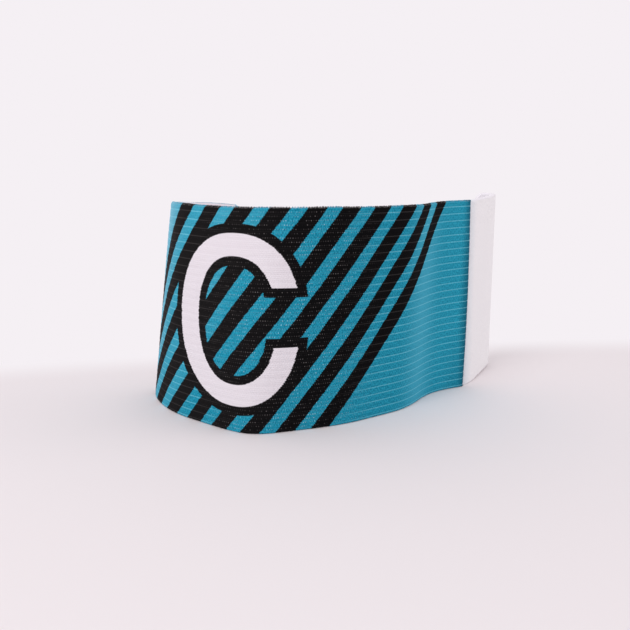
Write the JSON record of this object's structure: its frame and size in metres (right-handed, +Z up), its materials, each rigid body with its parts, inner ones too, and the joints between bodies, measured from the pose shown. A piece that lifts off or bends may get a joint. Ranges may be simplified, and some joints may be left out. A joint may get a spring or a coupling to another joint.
{
  "type": "captain armband",
  "caption": "Wide elastic armband with diagonal stripes and a captain's letter, unfastened and standing on edge, with a soft hook-and-loop tab sewn at one end.",
  "frame": {"origin": "middle of the armband's box, on the surface that its lower edge stands on", "axes": "+Z up across the band's width, +X to the right along the printed face, +Y away from someone who faces the print"},
  "size_m": [0.1228, 0.0778, 0.0665],
  "materials": {
    "printed_elastic": "ribbed woven elastic, teal print with black diagonal stripes and a white letter, white back",
    "loop_cloth": "soft brushed loop cloth, white"
  },
  "bodies": {
    "root": {"elastic_band": "printed_elastic", "closure_tab": "loop_cloth"}
  },
  "joints": []
}
